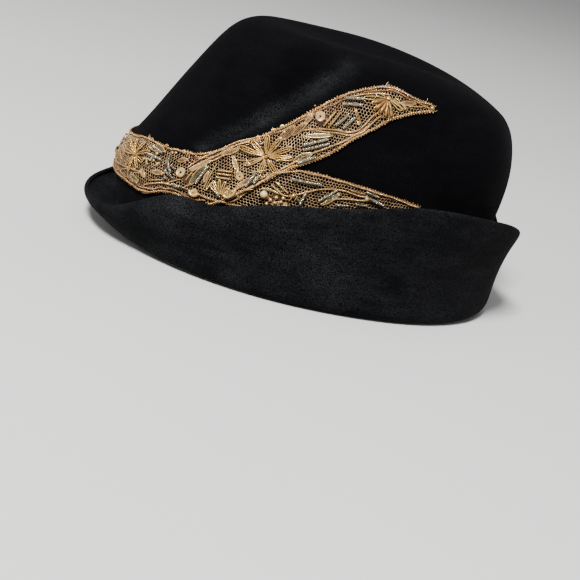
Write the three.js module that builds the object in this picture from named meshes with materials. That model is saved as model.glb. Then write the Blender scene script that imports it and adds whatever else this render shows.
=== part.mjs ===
// A black velour felt hat with a slanting pinch in the crown, its brim turned up all round, and a strip of
// gilt net in two tails, with cord flowers, purls and sequins, laid over the front and left of the crown.
// Millimetres, +Z up. The front faces -X and the wearer's left side -Y. The hat stands on the brim's fold.
import * as THREE from "three";

// Driving dimensions
const FELT_WALL = 2.4;
const FOLD_RADIUS = 5.5;
const FRONT_RISE = 4;
const LACE_THICK = 0.8;
const LACE_SEAT = 0.45;
const TRIM_SEAT = 0.4;
const PURL_RADIUS = 0.9;
const BAR_RADIUS = 0.6;
const SEQUIN_THICK = 0.5;
const SEQUIN_HOLE = 0.5;
const FLOWER_THICK = 1.2;
const FLOWER_BEVEL = 0.4;
const PEARL_RADIUS = 2;

// Facets round the oval, and rows of facets from the tip to the pinch's ledge, down the ledge, on to the
// head opening, round the fold and up the brim. The inner face of the crown has fewer rows.
const FACETS_ROUND = 60;
const OUTER_ROWS = { tip: 11, ledge: 3, wall: 11 };
const INNER_ROWS = { tip: 7, ledge: 2, wall: 7 };
const FOLD_STEPS = 7;
const BRIM_STEPS = 6;
const TRIM_SIDES = 10;
const SEQUIN_SIDES = 14;

// The crown's lowest ring, at a height that lets the flattened underside of the fold touch z = 0. It rises
// a little towards the front.
const BASE_HIGH = (FOLD_RADIUS + FELT_WALL / 2) * Math.cos(Math.PI / (2 * FOLD_STEPS));
const BASE_FRONT = BASE_HIGH + FRONT_RISE;

// Rings of the crown, from the tip down to the head opening. front and rear are the reach along X, half is
// the half width, and the three heights are those of the ring at its front, its sides and its rear.
const CROWN_RINGS = [
  { front: 0, rear: 0, half: 0, highFront: 117, highSide: 117, highRear: 117 },
  { front: -32, rear: 28, half: 16, highFront: 120, highSide: 119, highRear: 115 },
  { front: -49, rear: 55, half: 32, highFront: 123, highSide: 121, highRear: 113 },
  { front: -62, rear: 76, half: 46, highFront: 120, highSide: 117, highRear: 106 },
  { front: -72, rear: 89, half: 55, highFront: 110, highSide: 107, highRear: 96 },
  { front: -86, rear: 95, half: 64, highFront: 86, highSide: 87, highRear: 76 },
  { front: -100, rear: 94, half: 70, highFront: 60, highSide: 62, highRear: 54 },
  { front: -112, rear: 90, half: 73, highFront: 36, highSide: 36, highRear: 32 },
  { front: -108, rear: 92, half: 74, highFront: BASE_FRONT, highSide: BASE_HIGH, highRear: BASE_HIGH },
];
const CROWN_END = CROWN_RINGS.length - 1;
const CROWN_CENTRE_X = -5;
// How much fuller than an ellipse the oval is between its sides and its front or rear end.
const FRONT_FULLNESS = -0.015;
const REAR_FULLNESS = 0.035;
// Brings the middle of the hat's length over the origin.
const CENTRING = 10.5;

// The turned-up brim, by degrees round from the centre of the front, the same on both sides. The fold
// rolls through so many degrees. From its foot the section rises past a bend to the cut edge, each so far
// out from where a full fold has its foot and so high.
const BRIM_STATIONS = [
  { round: 0, roll: 125, bendOut: 11, bendHigh: 13, out: 7, high: 16 },
  { round: 25, roll: 130, bendOut: 12, bendHigh: 15, out: 6, high: 18 },
  { round: 36, roll: 145, bendOut: 12, bendHigh: 20, out: 1, high: 29.5 },
  { round: 46, roll: 165, bendOut: 13, bendHigh: 25, out: -1, high: 38.5 },
  { round: 58, roll: 180, bendOut: 10, bendHigh: 30, out: 3, high: 40 },
  { round: 74, roll: 180, bendOut: 6, bendHigh: 35, out: 4, high: 50 },
  { round: 90, roll: 180, bendOut: 5, bendHigh: 40, out: 6, high: 57 },
  { round: 112, roll: 180, bendOut: 4, bendHigh: 44, out: 7, high: 65 },
  { round: 130, roll: 180, bendOut: 2, bendHigh: 40, out: 7, high: 63 },
  { round: 150, roll: 180, bendOut: 1, bendHigh: 35, out: 7, high: 55 },
  { round: 180, roll: 180, bendOut: -4, bendHigh: 25, out: 3, high: 34 },
];

// The pinch in the left of the crown: the lip that it sinks behind, by degrees round from the front, with
// how deep it sinks and how wide the ledge down to it is. Above the ledge it fades out over PINCH_FADE.
// The rows of facets follow the lip, so the table goes on all round the crown with no depth.
const PINCH_STATIONS = [
  { round: -180, high: 100, deep: 0, wide: 6 },
  { round: -90, high: 112, deep: 0, wide: 6 },
  { round: -30, high: 98, deep: 0, wide: 6 },
  { round: 5, high: 75, deep: 0, wide: 5 },
  { round: 25, high: 60, deep: 0, wide: 4 },
  { round: 38, high: 57, deep: 0, wide: 3 },
  { round: 46, high: 60, deep: 2, wide: 3 },
  { round: 52, high: 68, deep: 4.5, wide: 4 },
  { round: 58, high: 77, deep: 6, wide: 5 },
  { round: 67, high: 90, deep: 7, wide: 7 },
  { round: 75, high: 101, deep: 7.5, wide: 8 },
  { round: 83, high: 111, deep: 7, wide: 8 },
  { round: 89, high: 116, deep: 4, wide: 7 },
  { round: 97, high: 117, deep: 0, wide: 5 },
  { round: 130, high: 112, deep: 0, wide: 6 },
  { round: 180, high: 100, deep: 0, wide: 6 },
];
const PINCH_FADE = 36;

// The net strips, by degrees round from the front: the heights of their upper and lower edges.
const UPPER_STRIP = [
  { round: -48, top: 43, bottom: 37 },
  { round: -40, top: 46, bottom: 34 },
  { round: -25, top: 47.5, bottom: 31 },
  { round: -10, top: 47.5, bottom: 29.5 },
  { round: 5, top: 49, bottom: 29 },
  { round: 20, top: 53, bottom: 29 },
  { round: 32, top: 54, bottom: 29 },
  { round: 40, top: 56, bottom: 33.5 },
  { round: 46, top: 58, bottom: 35 },
  { round: 52, top: 64, bottom: 34 },
  { round: 57, top: 70, bottom: 36.5 },
  { round: 62, top: 76, bottom: 43 },
  { round: 68, top: 84, bottom: 54 },
  { round: 74, top: 92.5, bottom: 64 },
  { round: 80, top: 100, bottom: 70.5 },
  { round: 85, top: 104.5, bottom: 76.5 },
  { round: 90, top: 107.5, bottom: 84 },
  { round: 96, top: 111, bottom: 92 },
  { round: 101, top: 111.5, bottom: 98 },
  { round: 107, top: 109, bottom: 102 },
  { round: 113, top: 107.5, bottom: 104.5 },
];
const LOWER_STRIP = [
  { round: 61, top: 46, bottom: 39 },
  { round: 66, top: 55, bottom: 40 },
  { round: 71, top: 61, bottom: 42 },
  { round: 76, top: 64.5, bottom: 44 },
  { round: 83, top: 65.5, bottom: 46 },
  { round: 90, top: 65, bottom: 48 },
  { round: 97, top: 64, bottom: 50 },
  { round: 104, top: 62.5, bottom: 53 },
  { round: 110, top: 61, bottom: 56 },
  { round: 114, top: 59.5, bottom: 57.5 },
];
// Between these degrees the lower half of the upper strip lies over the start of the lower strip.
const OVERLAP = { start: 54, full: 60, fade: 75, end: 80 };

// Purls and bars lie from one place to another, each given as degrees round and height.
const SILVER_PURLS = [
  { round: 26, high: 51, toRound: 32.5, toHigh: 50.5 },
  { round: 27, high: 47, toRound: 34, toHigh: 47.5 },
  { round: 36.4, high: 48.6, toRound: 40.4, toHigh: 43.6 },
  { round: 50, high: 43.8, toRound: 50.7, toHigh: 53.6 },
  { round: 64.5, high: 50.5, toRound: 65.5, toHigh: 58 },
  { round: 66.2, high: 53, toRound: 67, toHigh: 57.6 },
  { round: 75.4, high: 76.6, toRound: 82.7, toHigh: 82.4 },
  { round: 76.2, high: 74.6, toRound: 83.3, toHigh: 80.4 },
  { round: 83.8, high: 89.1, toRound: 87.2, toHigh: 95.2 },
  { round: 86.4, high: 88.7, toRound: 89.6, toHigh: 94.6 },
  { round: 84.2, high: 99.4, toRound: 91.2, toHigh: 100.8 },
  { round: 84.8, high: 102.2, toRound: 91.4, toHigh: 103.6 },
  { round: 76, high: 68, toRound: 80.5, toHigh: 73 },
  { round: 75.8, high: 60, toRound: 84.6, toHigh: 60.9 },
  { round: 85, high: 53, toRound: 89.2, toHigh: 60 },
  { round: 80.5, high: 49, toRound: 81, toHigh: 55 },
  { round: 98.6, high: 59.4, toRound: 103.2, toHigh: 57.4 },
];
const GILT_BARS = [
  { round: 54.2, high: 53.4, toRound: 58.8, toHigh: 54.8 },
  { round: 54.6, high: 51.7, toRound: 59, toHigh: 53.1 },
  { round: 55, high: 50, toRound: 59.4, toHigh: 51.4 },
  { round: 54, high: 42.5, toRound: 54.5, toHigh: 47 },
  { round: 71.9, high: 56.6, toRound: 76.4, toHigh: 53 },
  { round: 71, high: 54.8, toRound: 75.4, toHigh: 51.2 },
  { round: 79.9, high: 87.6, toRound: 82.6, toHigh: 95.6 },
  { round: 81.6, high: 87.4, toRound: 84.3, toHigh: 95.4 },
];
const SEQUINS = [
  { round: 43.2, high: 46, radius: 2.5 },
  { round: 61.5, high: 54, radius: 2 },
  { round: 77.8, high: 91.6, radius: 2.4 },
  { round: 60.3, high: 45.2, radius: 2.2 },
  { round: 50.6, high: 39.6, radius: 1.8 },
];
// A rosette is stiff, so it is raised a little where the strip curves away under it.
const FLOWERS = [
  { name: "flower_front", round: 19.5, high: 43, radius: 6, petals: 6, raise: 0.2 },
  { name: "flower_middle", round: 66.5, high: 68.5, radius: 7.5, petals: 9, raise: 0.6 },
  { name: "flower_tip", round: 97, high: 102.3, radius: 5.5, petals: 7, raise: 0.2 },
];
const PEARL = { round: 70.2, high: 49.3, raise: PEARL_RADIUS };

const toRadians = THREE.MathUtils.degToRad;
const { smoothstep, clamp } = THREE.MathUtils;

// The value of one column at a place between rows, along a smooth curve through them.
function smoothColumn(rows, column, place) {
  const last = rows.length - 1;
  const row = clamp(Math.floor(place), 0, last - 1);
  const t = clamp(place - row, 0, 1);
  const [a, b, c, d] = [-1, 0, 1, 2].map((k) => rows[clamp(row + k, 0, last)][column]);
  return b + 0.5 * t * (c - a + t * (2 * a - 5 * b + 4 * c - d + t * (3 * (b - c) + d - a)));
}

// The place in a table at so many degrees round.
function placeAt(rows, round) {
  const next = rows.findIndex((row) => row.round >= round);
  if (next < 0) return rows.length - 1;
  if (next === 0) return 0;
  const before = rows[next - 1].round;
  return next - 1 + (round - before) / (rows[next].round - before);
}

function stationColumn(rows, column, round) {
  return smoothColumn(rows, column, placeAt(rows, round));
}

// Degrees round from the front, positive over the left side and negative over the right.
function degreesRound(turn) {
  return THREE.MathUtils.radToDeg(Math.atan2(Math.sin(turn), Math.cos(turn)));
}

function bezier(t, [a, b, c, d]) {
  const rest = 1 - t;
  return rest ** 3 * a + 3 * rest ** 2 * t * b + 3 * rest * t ** 2 * c + t ** 3 * d;
}

// How far the pinch sinks the crown's left side at so many degrees round and so high.
function pinchDepth(round, high) {
  const above = high - stationColumn(PINCH_STATIONS, "high", round);
  const wide = stationColumn(PINCH_STATIONS, "wide", round);
  const ledge = smoothstep(above, 0, wide);
  const fade = 1 - smoothstep(above, wide, wide + PINCH_FADE);
  return Math.max(stationColumn(PINCH_STATIONS, "deep", round), 0) * ledge * fade;
}

// The height of the crown's unpinched surface: turn is the angle round from the front, place counts rings.
function ringHigh(turn, place) {
  const side = smoothColumn(CROWN_RINGS, "highSide", place);
  const end = smoothColumn(CROWN_RINGS, Math.cos(turn) > 0 ? "highFront" : "highRear", place);
  return side + (end - side) * Math.cos(turn) ** 2;
}

// A point of the crown's middle surface.
function crownPoint(turn, place) {
  const ring = (column) => smoothColumn(CROWN_RINGS, column, place);
  const forward = Math.cos(turn);
  const [reach, fullness] = forward > 0
    ? [CROWN_CENTRE_X - ring("front"), FRONT_FULLNESS]
    : [ring("rear") - CROWN_CENTRE_X, REAR_FULLNESS];
  const fuller = 1 + fullness * Math.sin(2 * turn) ** 2;
  // The tip's own centre is at x = 0, and the oval's centre moves to CROWN_CENTRE_X by the first ring.
  const shift = CROWN_CENTRE_X * Math.min(place, 1);
  const long = reach - Math.sign(forward) * (CROWN_CENTRE_X - shift);
  const x = shift - fuller * forward * long;
  const y = -fuller * ring("half") * Math.sin(turn);
  const z = ringHigh(turn, place);
  const point = new THREE.Vector3(x, y, z);
  const depth = pinchDepth(degreesRound(turn), z);
  const inward = new THREE.Vector3(-x, -y, 0).normalize();
  const down = new THREE.Vector3(0, 0, -1);
  return point.addScaledVector(down.lerp(inward, smoothstep(place, 2, 4)), depth * smoothstep(place, 1, 3));
}

// How far the fold has rolled at a place in it. The facet under it stays level where the fold is not full.
function rollAngle(full, place) {
  const level = (FOLD_STEPS + 1) / (2 * FOLD_STEPS);
  if (place <= level) return Math.PI * place;
  return Math.PI * level + ((full - Math.PI * level) * (place - level)) / (1 - level);
}

// A point of the brim's middle surface: place 0 to 1 goes round the fold and 1 to 2 up to the cut edge.
function brimPoint(turn, place) {
  const step = 0.01;
  const start = crownPoint(turn, CROWN_END);
  const along = crownPoint(turn + step, CROWN_END).sub(crownPoint(turn - step, CROWN_END));
  const outward = along.cross(new THREE.Vector3(0, 0, 1)).normalize();
  const station = (column) => stationColumn(BRIM_STATIONS, column, Math.abs(degreesRound(turn)));
  const angle = rollAngle(toRadians(station("roll")), Math.min(place, 1));
  const foldAway = FOLD_RADIUS * (1 - Math.cos(angle));
  const foldHigh = start.z - FOLD_RADIUS * Math.sin(angle);
  if (place <= 1) return start.addScaledVector(outward, foldAway).setZ(foldHigh);
  const fullFoot = 2 * FOLD_RADIUS;
  const bend = station("bendHigh");
  const reach = (bend - foldHigh) / 2;
  const [awayNext, highNext] = [foldAway + reach * Math.sin(angle), foldHigh - reach * Math.cos(angle)];
  const [bendAway, edgeAway] = [fullFoot + station("bendOut"), fullFoot + station("out")];
  const away = bezier(place - 1, [foldAway, awayNext, bendAway, edgeAway]);
  const high = bezier(place - 1, [foldHigh, highNext, bend, station("high")]);
  return start.addScaledVector(outward, away).setZ(high);
}

function bodyPoint(turn, place) {
  return place <= CROWN_END ? crownPoint(turn, place) : brimPoint(turn, place - CROWN_END);
}

// The direction out of the crown. It turns over with the fold, so on the brim it points at the crown.
function bodyNormal(turn, place) {
  const step = 0.01;
  const along = bodyPoint(turn, Math.min(place + step, CROWN_END + 2));
  along.sub(bodyPoint(turn, Math.max(place - step, step)));
  const round = bodyPoint(turn + step, place).sub(bodyPoint(turn - step, place));
  return along.cross(round).normalize();
}

// A point so far off the middle surface, on the side that is outside the crown.
function feltPoint(turn, place, off) {
  if (place === 0) return bodyPoint(turn, 0).add(new THREE.Vector3(0, 0, off));
  return bodyPoint(turn, place).addScaledVector(bodyNormal(turn, place), off);
}

// The place where the unpinched surface has a given height, on the rim or below it.
function placeOfHeight(turn, high) {
  let [above, below] = [2.2, CROWN_END];
  for (let i = 0; i < 30; i += 1) {
    const middle = (above + below) / 2;
    if (ringHigh(turn, middle) > high) above = middle;
    else below = middle;
  }
  return (above + below) / 2;
}

// The places of one column of facets from the tip to the cut edge, with rows on both edges of the ledge.
function placesDown(turn, rows) {
  const round = degreesRound(turn);
  const lipHigh = stationColumn(PINCH_STATIONS, "high", round);
  const lip = placeOfHeight(turn, lipHigh);
  const ledge = placeOfHeight(turn, lipHigh + stationColumn(PINCH_STATIONS, "wide", round));
  const stretches = [
    { from: 0, to: ledge, steps: rows.tip },
    { from: ledge, to: lip, steps: rows.ledge },
    { from: lip, to: CROWN_END, steps: rows.wall },
    { from: CROWN_END, to: CROWN_END + 1, steps: FOLD_STEPS },
    { from: CROWN_END + 1, to: CROWN_END + 2, steps: BRIM_STEPS },
  ];
  return stretches.flatMap(({ from, to, steps }) => {
    return Array.from({ length: steps }, (_, i) => from + ((to - from) * (i + 1)) / steps);
  });
}

function solidFrom(points, faces) {
  const geometry = new THREE.BufferGeometry().setFromPoints(points);
  geometry.setIndex(faces);
  geometry.computeVertexNormals();
  return geometry;
}

// The felt body in one piece: down the outer face from the tip, over the cut edge and back up the inner.
function makeFeltBody() {
  const half = FELT_WALL / 2;
  const points = [feltPoint(0, 0, half)];
  for (let i = 0; i < FACETS_ROUND; i += 1) {
    const turn = (2 * Math.PI * i) / FACETS_ROUND;
    const outer = placesDown(turn, OUTER_ROWS).map((place) => feltPoint(turn, place, half));
    const inner = placesDown(turn, INNER_ROWS).map((place) => feltPoint(turn, place, -half));
    points.push(...outer, ...inner.reverse());
  }
  const rows = (points.length - 1) / FACETS_ROUND;
  points.push(feltPoint(0, 0, -half));
  const at = (i, row) => 1 + (i % FACETS_ROUND) * rows + row;
  const faces = [];
  for (let i = 0; i < FACETS_ROUND; i += 1) {
    faces.push(0, at(i, 0), at(i + 1, 0));
    for (let row = 0; row + 1 < rows; row += 1) {
      faces.push(at(i, row), at(i, row + 1), at(i + 1, row));
      faces.push(at(i + 1, row), at(i, row + 1), at(i + 1, row + 1));
    }
    faces.push(at(i, rows - 1), points.length - 1, at(i + 1, rows - 1));
  }
  return solidFrom(points, faces);
}

// The place on the crown's wall at a given height.
function wallPlace(turn, high) {
  let [above, below] = [2.6, CROWN_END];
  for (let i = 0; i < 30; i += 1) {
    const middle = (above + below) / 2;
    if (crownPoint(turn, middle).z > high) above = middle;
    else below = middle;
  }
  return (above + below) / 2;
}

// A frame on the crown's wall, so far clear of the felt's outer face: a point and the way out.
function onWall(round, high, clear) {
  const turn = toRadians(round);
  const place = wallPlace(turn, high);
  const out = bodyNormal(turn, place);
  return { point: feltPoint(turn, place, FELT_WALL / 2 + clear), out };
}

// How much the upper strip is raised where it lies over the lower one.
function stripLift(round, high) {
  if (round <= OVERLAP.start || round >= OVERLAP.end) return 0;
  const top = stationColumn(UPPER_STRIP, "top", round);
  const bottom = stationColumn(UPPER_STRIP, "bottom", round);
  const across = (top - high) / (top - bottom);
  const { start, full, fade, end } = OVERLAP;
  const along = smoothstep(round, start, full) - smoothstep(round, fade, end);
  return (LACE_THICK + LACE_SEAT) * along * smoothstep(across, 0.3, 0.6);
}

// One strip of net with its cords, as a thin sheet that follows the crown's wall.
function makeStrip(rows, columns, across, lift) {
  const [first, last] = [rows[0].round, rows[rows.length - 1].round];
  const points = [];
  for (const face of [0, LACE_THICK]) {
    for (let i = 0; i <= columns; i += 1) {
      const round = first + ((last - first) * i) / columns;
      const top = stationColumn(rows, "top", round);
      const bottom = stationColumn(rows, "bottom", round);
      for (let j = 0; j <= across; j += 1) {
        const high = top + ((bottom - top) * j) / across;
        points.push(onWall(round, high, LACE_SEAT + lift(round, high) + face).point);
      }
    }
  }
  const wide = across + 1;
  const layer = wide * (columns + 1);
  const faces = [];
  const quad = (a, b, c, d) => faces.push(a, b, c, a, c, d);
  for (let i = 0; i < columns; i += 1) {
    for (let j = 0; j < across; j += 1) {
      const a = i * wide + j;
      quad(a, a + wide, a + wide + 1, a + 1);
      quad(layer + a, layer + a + 1, layer + a + wide + 1, layer + a + wide);
    }
    const [top, bottom] = [i * wide, i * wide + across];
    quad(top, layer + top, layer + top + wide, top + wide);
    quad(bottom, bottom + wide, layer + bottom + wide, layer + bottom);
  }
  for (let j = 0; j < across; j += 1) {
    const end = columns * wide + j;
    quad(j, j + 1, layer + j + 1, layer + j);
    quad(end, layer + end, layer + end + 1, end + 1);
  }
  return solidFrom(points, faces);
}

// How far clear of the felt a trim sits when it rests on the strip there.
function trimClear(round, high) {
  const onUpper = high > stationColumn(UPPER_STRIP, "bottom", round);
  return LACE_SEAT + (onUpper ? stripLift(round, high) : 0) + LACE_THICK + TRIM_SEAT;
}

// A purl or bar: a round length bent along the strip from one place to another.
function makeLength({ round, high, toRound, toHigh }, radius) {
  const path = [0, 0.5, 1].map((t) => {
    const [r, h] = [round + (toRound - round) * t, high + (toHigh - high) * t];
    return onWall(r, h, trimClear(r, h) + radius).point;
  });
  const section = new THREE.Shape();
  for (let i = 0; i < TRIM_SIDES; i += 1) {
    const turn = (2 * Math.PI * i) / TRIM_SIDES;
    const [x, y] = [radius * Math.cos(turn), radius * Math.sin(turn)];
    if (i === 0) section.moveTo(x, y);
    else section.lineTo(x, y);
  }
  section.closePath();
  return new THREE.ExtrudeGeometry(section, { steps: 2, extrudePath: new THREE.CatmullRomCurve3(path) });
}

// A flat disc with a hole through it, lying in the XZ plane round +Y.
function makeSequin(radius) {
  const profile = [
    [SEQUIN_HOLE, 0],
    [radius, 0],
    [radius, SEQUIN_THICK],
    [SEQUIN_HOLE, SEQUIN_THICK],
    [SEQUIN_HOLE, 0],
  ];
  return new THREE.LatheGeometry(profile.map(([x, y]) => new THREE.Vector2(x, y)), SEQUIN_SIDES);
}

// A rosette of petals, cut from a sheet with softened edges, facing +Z.
function makeFlower({ radius, petals }) {
  const outline = new THREE.Shape();
  const corners = petals * 4;
  for (let i = 0; i < corners; i += 1) {
    const turn = (2 * Math.PI * i) / corners;
    const reach = (radius - FLOWER_BEVEL) * (0.82 + 0.18 * Math.cos(petals * turn));
    const [x, y] = [reach * Math.cos(turn), reach * Math.sin(turn)];
    if (i === 0) outline.moveTo(x, y);
    else outline.lineTo(x, y);
  }
  outline.closePath();
  const depth = FLOWER_THICK - 2 * FLOWER_BEVEL;
  const bevel = { bevelThickness: FLOWER_BEVEL, bevelSize: FLOWER_BEVEL, bevelSegments: 1 };
  const flower = new THREE.ExtrudeGeometry(outline, { depth, ...bevel });
  return flower.translate(0, 0, FLOWER_BEVEL);
}

const felt = new THREE.MeshStandardMaterial({ color: 0x14141a, roughness: 0.95, metalness: 0 });
const giltNet = new THREE.MeshStandardMaterial({ color: 0xb98f5c, roughness: 0.5, metalness: 0.6 });
const giltCord = new THREE.MeshStandardMaterial({ color: 0xc79a55, roughness: 0.45, metalness: 0.7 });
const silverPurl = new THREE.MeshStandardMaterial({ color: 0x8e8b7e, roughness: 0.35, metalness: 0.9 });
const giltSequin = new THREE.MeshStandardMaterial({ color: 0xe0c48f, roughness: 0.2, metalness: 0.9 });
const pearlCoat = new THREE.MeshStandardMaterial({ color: 0xd9d2c0, roughness: 0.25, metalness: 0 });

const hat = new THREE.Group();
const centred = new THREE.Group();
centred.position.x = CENTRING;
hat.add(centred);

function addMesh(name, geometry, material) {
  const mesh = new THREE.Mesh(geometry, material);
  mesh.name = name;
  centred.add(mesh);
  return mesh;
}

// Seats a trim on the strip with one of its own axes turned to the way out of the wall.
function seat(mesh, { round, high, raise = 0 }, axis) {
  const { point, out } = onWall(round, high, trimClear(round, high) + raise);
  mesh.position.copy(point);
  mesh.quaternion.setFromUnitVectors(axis, out);
}

const numbered = (name, i) => `${name}_${String(i + 1).padStart(2, "0")}`;
const noLift = () => 0;
const alongY = new THREE.Vector3(0, 1, 0);
const alongZ = new THREE.Vector3(0, 0, 1);

addMesh("felt_body", makeFeltBody(), felt);
addMesh("upper_net_strip", makeStrip(UPPER_STRIP, 34, 4, stripLift), giltNet);
addMesh("lower_net_strip", makeStrip(LOWER_STRIP, 11, 3, noLift), giltNet);
SILVER_PURLS.forEach((purl, i) => {
  addMesh(numbered("silver_purl", i), makeLength(purl, PURL_RADIUS), silverPurl);
});
GILT_BARS.forEach((bar, i) => {
  addMesh(numbered("gilt_bar", i), makeLength(bar, BAR_RADIUS), giltCord);
});
SEQUINS.forEach((sequin, i) => {
  seat(addMesh(numbered("sequin", i), makeSequin(sequin.radius), giltSequin), sequin, alongY);
});
for (const flower of FLOWERS) {
  seat(addMesh(flower.name, makeFlower(flower), giltCord), flower, alongZ);
}
seat(addMesh("pearl_bead", new THREE.SphereGeometry(PEARL_RADIUS, 12, 8), pearlCoat), PEARL, alongZ);

export default hat;
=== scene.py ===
"""A black velour felt hat trimmed with gilt net, cord flowers and purls, standing on a plain pale floor."""
from bisect import bisect
from math import cos, exp, hypot, pi, radians, sin, sqrt

import bpy
from mathutils import Matrix, Vector, noise
from mathutils.bvhtree import BVHTree


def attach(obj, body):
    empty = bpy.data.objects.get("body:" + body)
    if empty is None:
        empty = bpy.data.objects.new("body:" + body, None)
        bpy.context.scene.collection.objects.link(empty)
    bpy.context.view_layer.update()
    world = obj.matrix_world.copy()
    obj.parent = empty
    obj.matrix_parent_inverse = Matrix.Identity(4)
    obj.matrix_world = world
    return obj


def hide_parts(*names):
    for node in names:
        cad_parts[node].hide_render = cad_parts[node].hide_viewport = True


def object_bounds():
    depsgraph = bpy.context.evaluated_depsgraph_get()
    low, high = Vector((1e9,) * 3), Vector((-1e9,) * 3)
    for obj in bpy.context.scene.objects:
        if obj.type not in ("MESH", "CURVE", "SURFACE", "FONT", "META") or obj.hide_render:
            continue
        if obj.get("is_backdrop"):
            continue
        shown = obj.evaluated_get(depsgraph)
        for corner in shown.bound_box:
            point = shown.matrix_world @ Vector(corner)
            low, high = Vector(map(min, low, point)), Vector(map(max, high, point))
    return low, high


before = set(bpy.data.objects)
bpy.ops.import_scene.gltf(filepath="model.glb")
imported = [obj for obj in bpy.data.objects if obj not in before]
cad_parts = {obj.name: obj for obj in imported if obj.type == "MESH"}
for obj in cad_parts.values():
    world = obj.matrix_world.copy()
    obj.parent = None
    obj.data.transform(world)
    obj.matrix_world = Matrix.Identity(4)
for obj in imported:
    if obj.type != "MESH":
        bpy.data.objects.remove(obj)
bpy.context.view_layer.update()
bpy.ops.object.select_all(action="DESELECT")
# The frame is in metres, and sizes are given in millimetres below.
MM = 0.001

# Camera. It looks at the left side of the hat, a little from the front and from above, and is rolled
# because the picture shows the hat tilted back.
CAMERA_ROUND, CAMERA_ABOVE, CAMERA_ROLL = radians(-9.5), radians(19), radians(14.8)
CAMERA_DISTANCE = 700 * MM
CAMERA_AIM = Vector((6.5, 0, -20.5)) * MM

to_camera = Vector((
    sin(CAMERA_ROUND) * cos(CAMERA_ABOVE),
    -cos(CAMERA_ROUND) * cos(CAMERA_ABOVE),
    sin(CAMERA_ABOVE),
))
level_right = Vector((cos(CAMERA_ROUND), sin(CAMERA_ROUND), 0))
level_up = to_camera.cross(level_right)
camera_right = level_right * cos(CAMERA_ROLL) + level_up * sin(CAMERA_ROLL)
camera_up = level_up * cos(CAMERA_ROLL) - level_right * sin(CAMERA_ROLL)
camera_turn = Matrix((camera_right, camera_up, to_camera)).transposed().to_euler()
bpy.ops.object.camera_add(location=CAMERA_AIM + to_camera * CAMERA_DISTANCE, rotation=camera_turn)
camera = bpy.context.object
camera.data.sensor_width = 36
camera.data.lens = 77
bpy.context.scene.camera = camera

# Studio. A large soft light high at the front left, a weak one behind on the right that brushes the pile's
# edges, a faint one low at the front, and an even pale surround.
LIGHTS = [
    {"name": "key_light", "place": (-0.5, -1.0, 1.6), "size": 0.45, "watts": 108},
    {"name": "rear_light", "place": (0.8, 0.8, 1.4), "size": 0.9, "watts": 5},
    {"name": "front_fill", "place": (-1.3, 0.1, 0.6), "size": 0.8, "watts": 4},
]
for light in LIGHTS:
    place = Vector(light["place"])
    turn = (place - Vector((0, 0, 0.06))).to_track_quat("Z", "Y").to_euler()
    bpy.ops.object.light_add(type="AREA", location=place, rotation=turn)
    lamp = bpy.context.object
    lamp.name = light["name"]
    lamp.data.energy = light["watts"]
    lamp.data.size = light["size"]
surround = bpy.data.worlds.new("pale surround")
bpy.context.scene.world = surround
surround.use_nodes = True
surround.node_tree.nodes["Background"].inputs["Color"].default_value = (0.97, 0.98, 1.0, 1)
surround.node_tree.nodes["Background"].inputs["Strength"].default_value = 0.42

# Floor. A wide board with matt pale paint, lying level under the hat. Its paint is a little uneven, so that
# it isn't one flat tone.


def colour(code):
    """Turns an sRGB hex code to linear red, green, blue and alpha."""
    parts = [int(code[i:i + 2], 16) / 255 for i in (1, 3, 5)]
    return [p / 12.92 if p <= 0.04045 else ((p + 0.055) / 1.055) ** 2.4 for p in parts] + [1]


def add(tree, kind, inputs=None, **settings):
    """Adds a node with its settings, and gives each named input a value or a link."""
    node = tree.nodes.new(kind)
    for name, value in settings.items():
        setattr(node, name, value)
    for name, value in (inputs or {}).items():
        if isinstance(value, bpy.types.NodeSocket):
            tree.links.new(value, node.inputs[name])
        else:
            node.inputs[name].default_value = value
    return node


def new_material(name):
    """An empty material with its output node."""
    material = bpy.data.materials.new(name)
    material.use_nodes = True
    material.node_tree.nodes.clear()
    output = material.node_tree.nodes.new("ShaderNodeOutputMaterial")
    return material, material.node_tree, output


# Matt paint has no gloss to speak of, and clouds a hand wide hardly lighter or darker than the rest.
board, tree, output = new_material("matt pale board")
where = add(tree, "ShaderNodeTexCoord")
cloud = add(tree, "ShaderNodeTexNoise", {"Vector": where.outputs["Object"], "Scale": 3.0, "Detail": 2.0})
tone = add(tree, "ShaderNodeMix", {
    "Factor": cloud.outputs["Fac"], "A": colour("#B9B8B6"), "B": colour("#C0BFBD"),
}, data_type="RGBA")
surface = add(tree, "ShaderNodeBsdfPrincipled", {"Base Color": tone.outputs[2], "Roughness": 0.85})
tree.links.new(surface.outputs[0], output.inputs[0])
bpy.ops.mesh.primitive_plane_add(size=60, location=(0, 0, 0))
floor = bpy.context.object
floor.name = "pale_floor"
floor.data.materials.append(board)
floor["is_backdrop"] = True

# Felt body. One hood of rabbit-fur velour felt, steamed and blocked into crown and brim, with a hand-set
# pinch. Its cut edge is left raw and rounded, and the wall is about 2.4 mm thick.


def take(piece):
    """Selects one piece alone and makes it the active one."""
    bpy.ops.object.select_all(action="DESELECT")
    piece.select_set(True)
    bpy.context.view_layer.objects.active = piece


felt = bpy.data.objects.new("velour_felt_body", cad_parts["felt_body"].data.copy())
bpy.context.collection.objects.link(felt)
take(felt)
# The CAD mesh is merged and its triangles are paired, so that subdivision rounds the felt evenly.
bpy.ops.object.mode_set(mode="EDIT")
bpy.ops.mesh.select_all(action="SELECT")
bpy.ops.mesh.remove_doubles(threshold=0.02 * MM)
bpy.ops.mesh.tris_convert_to_quads(face_threshold=radians(80), shape_threshold=radians(80))
bpy.ops.object.mode_set(mode="OBJECT")
rounding = felt.modifiers.new("rounding", "SUBSURF")
rounding.levels = rounding.render_levels = 2
bpy.ops.object.modifier_apply(modifier="rounding")

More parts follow.
